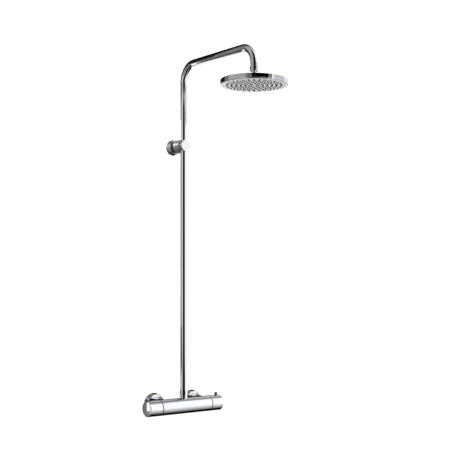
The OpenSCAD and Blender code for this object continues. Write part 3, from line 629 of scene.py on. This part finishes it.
def lofted(stations, steps=96):
    """A closed mesh through rings in the plane x = 0, each (y, z, heading, distance or wave).

    A heading of 0 points up and 90 into the room. The last ring joins the first.
    """
    made = bmesh.new()
    rings = []
    for y, z, heading, reach in stations:
        turn = math.radians(heading)
        across = Vector((0, math.cos(turn), math.sin(turn)))
        ring = []
        for step in range(steps):
            angle = math.tau * step / steps
            away = reach(angle) if callable(reach) else reach
            side = Vector((math.cos(angle), 0, 0)) + across * math.sin(angle)
            ring.append(made.verts.new((Vector((0, y, z)) + side * away) * MM))
        rings.append(ring)
    for ring, following in zip(rings, rings[1:] + rings[:1]):
        for step in range(steps):
            turned = (step + 1) % steps
            made.faces.new([ring[step], ring[turned], following[turned], following[step]])
    return closed(made)


def bends(reach, steps=48):
    """Rings of both bends, from the riser over to the drop pipe."""
    rings = []
    for centre_y, first in ((-WALL_REACH - BEND_R, 0), (drop_y + BEND_R, 90)):
        for step in range(steps + 1):
            heading = first + 90 * step / steps
            turn = math.radians(heading)
            y = centre_y + BEND_R * math.cos(turn)
            rings.append((y, arm_z - BEND_R + BEND_R * math.sin(turn), heading, reach))
    return rings


def arm_pipe():
    """The bent tube with its threaded end."""
    wave = thread_wave(-thread_top + 0.8, -thread_foot)
    outside = [(-WALL_REACH, arm_foot, 0, TUBE_R - 0.3), (-WALL_REACH, arm_foot + 0.3, 0, TUBE_R)]
    outside += bends(TUBE_R)
    outside.append((drop_y, thread_top, 180, TUBE_R))
    threaded_r = TUBE_R - 0.55
    rows = 48
    for row in range(rows + 1):
        z = thread_top + (thread_foot - thread_top) * row / rows
        outside.append((drop_y, z, 180, lambda angle, z=z: wave(threaded_r, -z, angle)))
    inside = [(-WALL_REACH, arm_foot, 0, TUBE_BORE)] + bends(TUBE_BORE)
    inside.append((drop_y, thread_foot, 180, TUBE_BORE - 0.8))
    return lofted(outside + inside[::-1])


piece("arm_pipe", arm_pipe(), polished_chrome, "chrome", "arm_tube")

# ---------------------------------------------------------------------------------------------
# Ball joint: a turned brass nut with a neck and a hollow ball, chromium plated, screwed on the arm.
# Two acetal liners hold the ball in the head's neck, under a ring nut that sets how stiff it is.
drop_axis = at(0, drop_y, 0)
joint_foot, joint_top = span("ball_stem", 2)
BALL_R, WATER_R, STEM_R = 12, 4, 6
ball_z = joint_foot + math.sqrt(BALL_R**2 - WATER_R**2)
joint_nut_r = span("ball_stem", 0)[1]
neck_r, neck_foot = joint_nut_r - 0.8, joint_top - 15
stem = [(10.5, joint_top, 0.2), (joint_nut_r, joint_top, 0.7), (joint_nut_r, joint_top - 9.5, 0.7)]
stem += [(neck_r, joint_top - 9.5, 0), (neck_r, neck_foot, 0.8), (STEM_R, neck_foot, 0.5)]
first = math.degrees(math.acos(STEM_R / BALL_R))
last = -math.degrees(math.acos(WATER_R / BALL_R))
ball_steps = 32
for step in range(ball_steps + 1):
    turn = math.radians(first + (last - first) * step / ball_steps)
    stem.append((BALL_R * math.cos(turn), ball_z + BALL_R * math.sin(turn), 0))
stem += [(WATER_R, joint_top - 10, 0.2), (10.5, joint_top - 10, 0)]
piece("ball_joint_stem", spun(stem, drop_axis, 160), polished_chrome, "chrome", "ball_stem")
coat(polished_chrome, "chrome", "head_neck", "retaining_nut")
coat(white_acetal, "white_plastic", "lower_liner", "upper_liner")
coat(epdm_rubber, "rubber", "filter_washer")
# Green acetal of the flow restrictor, as moulded: even, with a faint sheen.
green_acetal = finish_of("moulded_green_acetal", ("#3E8C5B", "#479A66"), 0.0, (0.35, 0.5), 1, 0.003)
coat(green_acetal, "green_plastic", "flow_restrictor")

# ---------------------------------------------------------------------------------------------
# Head: a flat round shell spun from brass, chromium plated. A light plastic face plate closes it
# from below over a rubber ring, and the silicone nozzles stand through the plate's holes.
# Light grey ABS of the face plate: satin, and even.
light_abs = finish_of("satin_light_grey_abs", ("#C9CACC", "#D2D3D5"), 0.0, (0.28, 0.4), 1.5, 0.003)
# Silicone rubber of the nozzles, of a grey so dark that it looks black: soft, and matt.
grey_silicone = finish_of("moulded_grey_silicone", ("#141415", "#1B1B1C"), 0.0, (0.5, 0.65), 0.6, 0.005)
head_foot, head_top = span("head_shell", 2)
HEAD_R = span("head_shell", 0)[1]
NECK_HOLE, PLATE_SEAT, SHELL_BORE = 17.6, 98.3, 96.5
seat_top, shell_inside = head_foot + 4.4, head_top - 1.6
shell = [(NECK_HOLE, head_top, 0.2), (HEAD_R, head_top, 1.6), (HEAD_R, head_foot, 1.6)]
shell += [(PLATE_SEAT, head_foot, 0.2), (PLATE_SEAT, seat_top, 0), (SHELL_BORE, seat_top, 0)]
shell += [(SHELL_BORE, shell_inside, 0.8), (NECK_HOLE, shell_inside, 0)]
piece("shower_head_shell", spun(shell, drop_axis, 384), polished_chrome, "chrome", "head_shell")
coat(epdm_rubber, "rubber", "head_gasket")
coat(light_abs, "face_plastic", "face_plate")
coat(grey_silicone, "silicone", "nozzle_mat")

# ---------------------------------------------------------------------------------------------
# Studio: a pale floor, a plain white sky that lights the column, and soft panels and cards that
# only show in its chrome. Bearings are in degrees from the side the column is seen from, growing
# to its right.
CAMERA_SPOT = Vector((-1.79715, -2.58196, 0.40414))
SIGHT = math.radians(38.24)
CAMERA_FROM = Vector((-math.sin(SIGHT), -math.cos(SIGHT), 0))
CAMERA_RIGHT = Vector((math.cos(SIGHT), -math.sin(SIGHT), 0))

scene = bpy.context.scene
scene.view_settings.view_transform = "Standard"
lens = bpy.data.cameras.new("camera")
lens.lens = 74.97
lens.sensor_width = 36
lens.shift_y = 0.113
camera = bpy.data.objects.new("camera", lens)
camera.location = CAMERA_SPOT
camera.rotation_euler = (math.radians(90), 0, -SIGHT)
scene.collection.objects.link(camera)
scene.camera = camera

FLOOR_Z = -1.0
FLOOR_HALF = 60
made = bmesh.new()
bmesh.ops.create_grid(made, x_segments=8, y_segments=8, size=FLOOR_HALF)
floor_mesh = bpy.data.meshes.new("studio_floor")
made.to_mesh(floor_mesh)
made.free()
# White vinyl of the floor: pale and matt, with a faint unevenness.
white_vinyl = finish_of("matt_white_vinyl", ("#F2F2F2", "#F6F6F6"), 0.0, (0.7, 0.8), 40, 0.01)
floor_mesh.materials.append(white_vinyl)
floor = bpy.data.objects.new("studio_floor", floor_mesh)
floor.location.z = FLOOR_Z
floor.visible_glossy = False
scene.collection.objects.link(floor)

# Black card: paper as dark as soot, and fully matt.
black_card = finish_of("matt_black_card", ("#030303", "#050505"), 0.0, (0.9, 1.0), 5, 0.01)
CARD_Y = 0.15
BRIGHT_LEVEL, DIM_LEVEL = 1.5, 0.8


def lit_card(name, level):
    """A white card lit evenly by its own lamps, up to a level."""
    material = bpy.data.materials.new(name)
    material.use_nodes = True
    tree = material.node_tree
    tree.nodes.clear()
    glow = {"Color": linear("#FFFFFF"), "Strength": level}
    shine = add(tree, "ShaderNodeEmission", glow).outputs["Emission"]
    add(tree, "ShaderNodeOutputMaterial", {"Surface": shine})
    return material


def hang(name, corners, material):
    """Hangs one card in the studio, seen only in mirrors."""
    mesh = bpy.data.meshes.new(name)
    mesh.from_pydata(corners, [], [range(len(corners))])
    mesh.materials.append(material)
    card = bpy.data.objects.new(name, mesh)
    card.visible_camera = False
    card.visible_diffuse = False
    card.visible_shadow = False
    scene.collection.objects.link(card)


# White card, as it looks under strong lamps.
bright_card = lit_card("bright_lit_card", BRIGHT_LEVEL)
# The same card under weaker lamps.
dim_card = lit_card("dim_lit_card", DIM_LEVEL)

# Cards behind the wall's plane, each with its corners (x, z) in metres: a black one above, for the
# arm, a black one at the rosettes, and lit ones for the bracket and for the left end cap.
card_outlines = {
    "upper_card": (black_card, [(0.6, 1.04), (-0.33, 1.04), (-0.33, 1.5), (-0.2, 2.6), (0.6, 2.6)]),
    "lower_card": (black_card, [(0.3, 0.1), (-0.4, 0.1), (-0.4, 0.24), (0.3, 0.24)]),
    "light_card": (
        bright_card,
        [(0.35, 0.96), (-0.18, 0.96), (-0.18, 0.9), (-0.03, 0.86), (0.12, 0.8), (0.35, 0.8)],
    ),
    "cap_card": (bright_card, [(-0.29, -0.052), (-0.29, 0.06), (-0.65, 0.06), (-0.65, -0.052)]),
}
for name, (material, outline) in card_outlines.items():
    hang(name, [(x, CARD_Y, z) for x, z in outline], material)

# A dimmer card that stands beside the head, on the right.
card_middle = Vector((0.55, -0.84, 0))
card_half = Vector((0.646, 0.763, 0)) * 0.34
card_foot, card_top = 1.06, 1.22
corners = []
for side, z in ((-1, card_foot), (1, card_foot), (1, card_top), (-1, card_top)):
    corners.append(card_middle + card_half * side + Vector((0, 0, z)))
hang("side_card", corners, dim_card)

world = bpy.data.worlds.new("studio")
world.use_nodes = True
scene.world = world
sky = world.node_tree
sky.nodes.clear()
ray = add(sky, "ShaderNodeTexCoord").outputs["Generated"]


def toward(direction):
    """How far the ray points along a direction."""
    dot = add(sky, "ShaderNodeVectorMath", {0: ray, 1: direction}, operation="DOT_PRODUCT")
    return dot.outputs["Value"]


def sums(operation, *terms):
    """One step of arithmetic on the ray's angles."""
    inputs = dict(enumerate(terms))
    return add(sky, "ShaderNodeMath", inputs, operation=operation).outputs["Value"]


bearing = sums("DEGREES", sums("ARCTAN2", toward(CAMERA_RIGHT), toward(CAMERA_FROM)))
rise = sums("DEGREES", sums("ARCSINE", toward(Vector((0, 0, 1)))))


def inside(angle, low, high, soft):
    """1 between two angles and 0 outside them, with a soft edge."""
    offset = sums("WRAP", sums("SUBTRACT", angle, (low + high) / 2), 180, -180)
    fade = {"Value": sums("ABSOLUTE", offset)}
    fade.update({"From Min": (high - low) / 2 + soft, "From Max": (high - low) / 2 - soft})
    return add(sky, "ShaderNodeMapRange", fade, interpolation_type="SMOOTHSTEP").outputs["Result"]


# Wall of light all round, as bearing and level: from behind the left, past the viewer, to behind
# the right. A stop's colour ends at 1, so the ramp holds half of each level.
WHITE_LEVEL = 1.25
RAMP_SHARE = 2
wall = {-180: 0.28, -104: 0.22, -92: 0.5, -62: 0.62, -50: 1.1}
wall |= {-20: 1.2, 30: 1.4, 90: 1.5, 120: 1.3, 180: 0.7}
around = add(sky, "ShaderNodeMapRange", {"Value": bearing, "From Min": -180, "From Max": 180})
ramp = add(sky, "ShaderNodeValToRGB", {"Fac": around.outputs["Result"]})
stops = ramp.color_ramp.elements
stops.remove(stops[1])
for angle, level in wall.items():
    stop = stops[0] if angle == -180 else stops.new((angle + 180) / 360)
    stop.color = (level / RAMP_SHARE, level / RAMP_SHARE, level / RAMP_SHARE, 1)
brightness = sums("MULTIPLY", ramp.outputs["Color"], RAMP_SHARE * WHITE_LEVEL)
# The light falls off towards the floor.
fall = {"Value": rise, "From Min": -52, "From Max": -8, "To Min": 0.2, "To Max": 1}
brightness = sums("MULTIPLY", brightness, add(sky, "ShaderNodeMapRange", fall).outputs["Result"])

# Panels and black flags, each laid over the ones before it: where it hangs, its bearings, its
# rises, how soft its upright and its level edges are, and the level it shows.
panels = {
    "high, behind the right": ((105, 190), (46, 90), (8, 5), 0.55),
    "low, straight behind": ((160, 205), (-26, -10), (6, 3), 0.35),
    "far below, behind the right": ((118, 192), (-66, -27), (5, 3), 0.0),
    "far below, in front": ((-60, 60), (-90, -50), (5, 3), 0.0),
    "low, on the left": ((-110, -40), (-30, -4), (6, 3), 0.35),
    "level, right of the viewer": ((16, 46), (-8, 11), (3, 1), 0.22),
    "level, behind the viewer": ((-33, 17), (-8, 11.2), (3, 1), 0.0),
    "below, behind the viewer": ((-22, 46), (-50, -5), (3, 1), 0.0),
    "overhead, black": ((-46, 54), (12.6, 90), (4, 0.6), 0.0),
    "overhead left, light grey": ((-72, -8), (11.1, 90), (10, 0.3), 0.62),
    "overhead left, dark grey": ((-28, -8), (11.1, 90), (9, 0.3), 0.2),
    "overhead middle, black": ((-10, 50), (11.1, 90), (2, 0.3), 0.0),
    "above right, a strip": ((50, 62), (11.1, 20), (3, 0.3), 0.3),
    "above, behind the left, a strip": ((-134, -121), (11, 14), (3, 1), 0.0),
}
for bearings, rises, (soft_across, soft_up), level in panels.values():
    across = inside(bearing, *bearings, soft_across)
    upward = inside(rise, *rises, soft_up)
    mask = sums("MULTIPLY", across, upward)
    step = sums("SUBTRACT", level, brightness)
    brightness = sums("MULTIPLY_ADD", mask, step, brightness)

# Mirrors see the panels. The viewer and matt surfaces see plain white.
path = add(sky, "ShaderNodeLightPath")
panelled = add(sky, "ShaderNodeBackground", {"Strength": brightness})
plain = add(sky, "ShaderNodeBackground", {"Color": linear("#FFFFFF"), "Strength": WHITE_LEVEL})
mixed = {"Fac": path.outputs["Is Glossy Ray"], 1: plain.outputs[0], 2: panelled.outputs[0]}
lit = add(sky, "ShaderNodeMixShader", mixed)
add(sky, "ShaderNodeOutputWorld", {"Surface": lit.outputs[0]})
